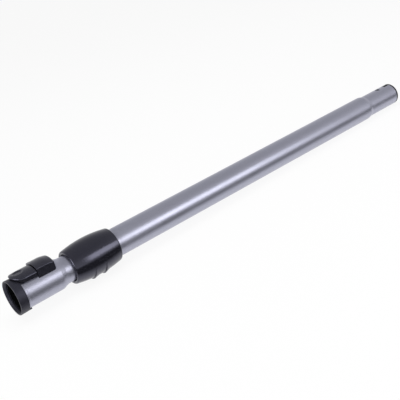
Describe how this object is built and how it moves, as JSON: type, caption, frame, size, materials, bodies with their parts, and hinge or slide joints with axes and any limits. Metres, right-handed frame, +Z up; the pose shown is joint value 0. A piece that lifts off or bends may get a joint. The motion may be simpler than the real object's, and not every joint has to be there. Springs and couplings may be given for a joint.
{
  "type": "telescopic vacuum wand",
  "caption": "Telescopic steel vacuum wand with a latched hose socket, a black sliding release sleeve over the joint of the tubes, and a plain nozzle spigot",
  "frame": {"origin": "centre of the hose socket's mouth, on the tube axis", "axes": "+X along the wand from the hose socket to the nozzle spigot, +Z up through the latch"},
  "size_m": [0.6635, 0.0484, 0.0527],
  "materials": {
    "tube_silver": "satin",
    "plastic_charcoal": "satin",
    "sleeve_black": "semi_gloss",
    "bush_plastic": "matte",
    "spring_steel": "satin",
    "wiper_rubber": "matte"
  },
  "bodies": {
    "outer": {"outer_tube": "tube_silver", "spigot_end_ring": "plastic_charcoal", "guide_bush": "bush_plastic", "dust_wiper": "wiper_rubber", "spring_stop_ring": "bush_plastic", "return_spring_left": "spring_steel", "return_spring_right": "spring_steel", "lock_leaf_spring": "spring_steel"},
    "sleeve": {"sleeve_lower_shell": "sleeve_black", "sleeve_upper_shell": "sleeve_black"},
    "lock": {"lock_tooth": "spring_steel", "lock_cross_pin": "spring_steel"},
    "inner": {"inner_tube": "tube_silver", "detent_rail": "bush_plastic", "slide_bush": "bush_plastic", "end_collar": "plastic_charcoal", "latch_cover": "plastic_charcoal", "latch_axle": "spring_steel", "latch_leaf_spring": "spring_steel"},
    "lever": {"latch_lever": "plastic_charcoal"}
  },
  "joints": [
    {"name": "telescope", "type": "slide", "parent": "outer", "child": "inner", "axis": [-1, 0, 0], "range_m": [0, 0.4]},
    {"name": "sleeve_slide", "type": "slide", "parent": "outer", "child": "sleeve", "axis": [1, 0, 0], "range_m": [0, 0.006], "stiffness_N_per_m": 1200, "springref_m": -0.003, "deforming": ["return_spring_left", "return_spring_right", "lock_leaf_spring"]},
    {"name": "lock_lift", "type": "slide", "parent": "outer", "child": "lock", "axis": [0, 0, -1], "range_m": [0, 0.0014]},
    {"name": "latch_press", "type": "hinge", "parent": "inner", "child": "lever", "pos_m": [0.028, 0, 0.0217], "axis": [0, -1, 0], "range_deg": [0, 4], "stiffness_Nm_per_rad": 1, "springref_deg": -5.73, "deforming": ["latch_leaf_spring"]}
  ],
  "couplings": [
    {"joint": "lock_lift", "follows": "sleeve_slide", "ratio": 0.23333}
  ]
}
